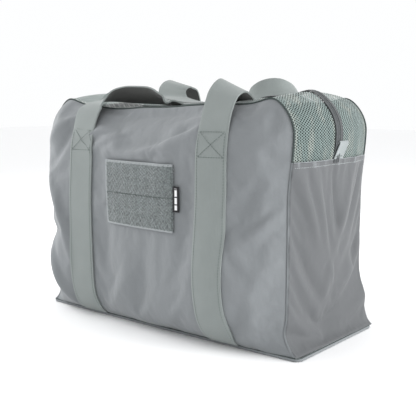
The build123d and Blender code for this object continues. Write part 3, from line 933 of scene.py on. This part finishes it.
for side, name in sides:
    for hand, end in hands:
        w = np.linspace(-1, 1, 60)
        x = hand * strapX + w * (strap["width"] / 2 - box["inset"])
        centre, half = (box["low"] + box["high"]) / 2, (box["high"] - box["low"]) / 2
        lines = dict(BoxTop=centre + half + 0 * w, BoxFoot=centre - half + 0 * w,
                     CrossUp=centre + half * w, CrossDown=centre - half * w)
        for part, z in lines.items():
            sewn(f"{name}{end.title()}{part}", x + leaning(z, side) * (hand < 0), z, side)
        z = np.linspace(box["foot"], box["high"], 240)
        for edge, tag in ((-1, "Outer"), (1, "Inner")):
            x = hand * strapX + edge * (strap["width"] / 2 - box["edgeInset"]) + leaning(z, side) * (hand < 0)
            sewn(f"{name}{end.title()}{tag}Row", x, z, side)
print("straps made")


# loop patch and label
patch = dict(thickness=0.0030, lift=0.0022, edge=0.0004, fuzz=0.0007, selvage=0.0032, selvageOver=0.0008,
             selvageLift=0.0034, selvageThickness=0.0012, threadLift=0.0042)
label = dict(tuck=0.001, lift=0.0032, thickness=0.0010, edge=0.0003)


def onFront(name, xs, zs, lift, material, thickness, edge):
    # a flat strip sewn to the front panel, given by its columns and rows
    rows, run = spread(zs, xs)
    points = onPanel(run, rows, -1, lift(run, rows))
    piece = sheetOf(name, points, (run, rows), [material], flip=True)
    return thicken(piece, thickness, 0.0, edge)


def fuzzed(x, z):
    # the loops' uneven tops: two sine patterns that bend each other
    waves = np.sin(x * 2700 + 3 * np.sin(z * 1900)) * np.sin(z * 2500 + 3 * np.sin(x * 1700))
    return patch["lift"] + patch["fuzz"] * waves


for row in ("lower", "upper"):
    low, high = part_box(f"{row}_loop_tape")
    xs, zs = np.linspace(low.x, high.x, 170), np.linspace(low.z + 0.0002, high.z - 0.0002, 60)
    piece = onFront(f"{row}LoopTape", xs, zs, fuzzed, pilePaintedShade, patch["thickness"], patch["edge"])
    attach(piece, "bag", "loop_tape", f"{row}_loop_tape")

left, right, low, high = patchBox[0].x, patchBox[1].x, patchBox[0].z, patchBox[1].z
over, wide = patch["selvageOver"], patch["selvage"]
borders = dict(
    Top=(np.linspace(left, right, 150), np.linspace(high - wide, high + over, 6)),
    Foot=(np.linspace(left, right, 150), np.linspace(low - over, low + wide * 0.7, 6)),
    Left=(np.linspace(left - over, left + wide, 6), np.linspace(low, high, 60)))
for part, (xs, zs) in borders.items():
    piece = onFront(f"patch{part}Selvage", xs, zs, lambda x, z: patch["selvageLift"], selvage,
                    patch["selvageThickness"], patch["edge"])
    attach(piece, "bag", "loop_tape")
along = np.linspace(left + 0.002, right - 0.002, 200)
up = np.linspace(low + 0.002, high - 0.002, 160)
lift = patch["threadLift"]
# columns, rows, thread, lift, pitch and thickness of each row of stitches
threads = dict(
    Middle=(along, (low + high) / 2, threadLook, lift - 0.0002, 0.0036, 0.0005),
    Top=(along, high - 0.0016, paleThread, lift, 0.0030, 0.0004),
    Foot=(along, low + 0.0010, paleThread, lift, 0.0030, 0.0004),
    Left=(left + 0.0014, up, paleThread, lift, 0.0030, 0.0004),
    Right=(right - 0.0020, up, threadLook, lift, 0.0030, 0.0005))
for part, (x, z, material, height, pitch, radius) in threads.items():
    sewn(f"patch{part}Row", x, z, -1, material, height, pitch, radius)

xs = np.linspace(labelBox[0].x - label["tuck"], labelBox[1].x, 14)
zs = np.linspace(labelBox[0].z, labelBox[1].z, 40)
piece = onFront("sideLabel", xs, zs, lambda x, z: label["lift"], labelLook, label["thickness"], label["edge"])
attach(piece, "bag", "label_black", "side_label")
print("patch and label made")


# zipper end tabs
tab = dict(width=0.025, length=0.026, thickness=0.0012, edge=0.0003, lean=13.0, spread=0.0016, skew=0.009,
           curl=0.0012, inset=0.0010, sink=0.001, barUp=0.004, barLift=0.0012)
for hand, end in hands:
    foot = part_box(f"{end}_zipper_tab")
    # a folded tape: up the back, over a round fold at the top, down the front, tucked under the hem
    t = np.linspace(0, 1, 41)
    out = np.where(t < 0.5, -1, 1) * tab["spread"] * np.minimum(1, np.abs(t - 0.5) * 16) ** 0.5
    up = tab["length"] * (1 - np.abs(t - 0.5) * 2) + 0.0006
    share = np.linspace(-0.5, 0.5, 12)
    rise, y = spread(up, share * tab["width"])
    offset = np.broadcast_to(out[:, None], rise.shape)
    c, s = np.cos(np.radians(tab["lean"])), np.sin(np.radians(tab["lean"]))
    baseX = foot[0].x + tab["inset"] if hand > 0 else foot[1].x - tab["inset"]
    baseZ = foot[0].z - tab["sink"]
    curl = tab["curl"] * (y / tab["width"] * 2) ** 2
    x = baseX + hand * (offset * c + rise * s + curl)
    z = baseZ + rise * c - offset * s
    skewed = y + tab["skew"] * rise / tab["length"]
    points = stack(x, skewed, z)
    piece = sheetOf(f"{end}ZipperTab", points, (y, rise), [tabCloth], flip=hand > 0)
    thicken(piece, tab["thickness"], 0.0, tab["edge"])
    attach(piece, "bag", "tab_webbing", f"{end}_zipper_tab")
    w = np.linspace(-0.42, 0.42, 50) * tab["width"]
    barX = baseX + hand * (tab["spread"] * c + tab["barUp"] * s + tab["barLift"])
    line = stack(barX, w, baseZ + tab["barUp"] * c)
    row = stitchRow(f"{end}TabBar", line, (hand, 0, 0), 0.0016, 0.0015, 0.0005, threadLook)
    attach(row, "bag", "tab_webbing")
print("tabs made")


# CAD nodes that stay, with their finishes
nodeFinish = {"base_panel": cloth, "base_board": boardLook}
nodeFinish.update({f"{end}_zipper_{part}": metal for end in ("left", "right") for part in ("slider", "pull")})
for node, material in nodeFinish.items():
    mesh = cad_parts[node].data
    if not mesh.materials:
        mesh.materials.append(material)
    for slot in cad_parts[node].material_slots:
        slot.material = material


# floor, light and camera
stage = dict(floor=(0.96, 0.96, 0.965), world=1.0, key=17.0, side=23.0, above=2.0)
floorMesh = bpy.data.meshes.new("floor")
floorMesh.from_pydata([(-8, -8, 0), (8, -8, 0), (8, 8, 0), (-8, 8, 0)], [], [(0, 1, 2, 3)])
floorPiece = bpy.data.objects.new("floor", floorMesh)
bpy.context.scene.collection.objects.link(floorPiece)
floorPaint = Finish("floorPaint", stage["floor"], 0.8, specular=0.1)
floorMesh.materials.append(floorPaint.material)

world = bpy.data.worlds.new("studio")
world.use_nodes = True
world.node_tree.nodes["Background"].inputs[0].default_value = (0.99, 0.996, 1.0, 1)
world.node_tree.nodes["Background"].inputs[1].default_value = stage["world"]
bpy.context.scene.world = world


def lamp(name, place, aim, size, power):
    # a round soft lamp that looks at a point
    light = given(bpy.data.lights.new(name, "AREA"), shape="DISK", size=size, energy=power)
    made = bpy.data.objects.new(name, light)
    made.location = place
    made.rotation_euler = (Vector(aim) - Vector(place)).to_track_quat("-Z", "Y").to_euler()
    bpy.context.scene.collection.objects.link(made)


lamp("keyLight", (-1.4, -0.5, 0.8), (-0.25, 0, 0.26), 1.3, stage["key"])
lamp("sideLight", (2.3, 0.55, 0.6), (0, 0, 0.2), 1.2, stage["side"] * 2)
lamp("topLight", (0.2, 0.3, 2.4), (0, 0, 0.2), 1.6, stage["above"] * 2)

view = dict(
    lens=dict(sensor_width=36, lens=64.96, clip_start=0.01),
    place=(0.8055, -0.9758, 0.3650), aim=(0.012, 0, 0.1857))
lens = given(bpy.data.cameras.new("camera"), **view["lens"])
camera = bpy.data.objects.new("camera", lens)
camera.location = view["place"]
camera.rotation_euler = (Vector(view["aim"]) - camera.location).to_track_quat("-Z", "Y").to_euler()
bpy.context.scene.collection.objects.link(camera)
bpy.context.scene.camera = camera
bpy.context.scene.view_settings.view_transform = "Standard"
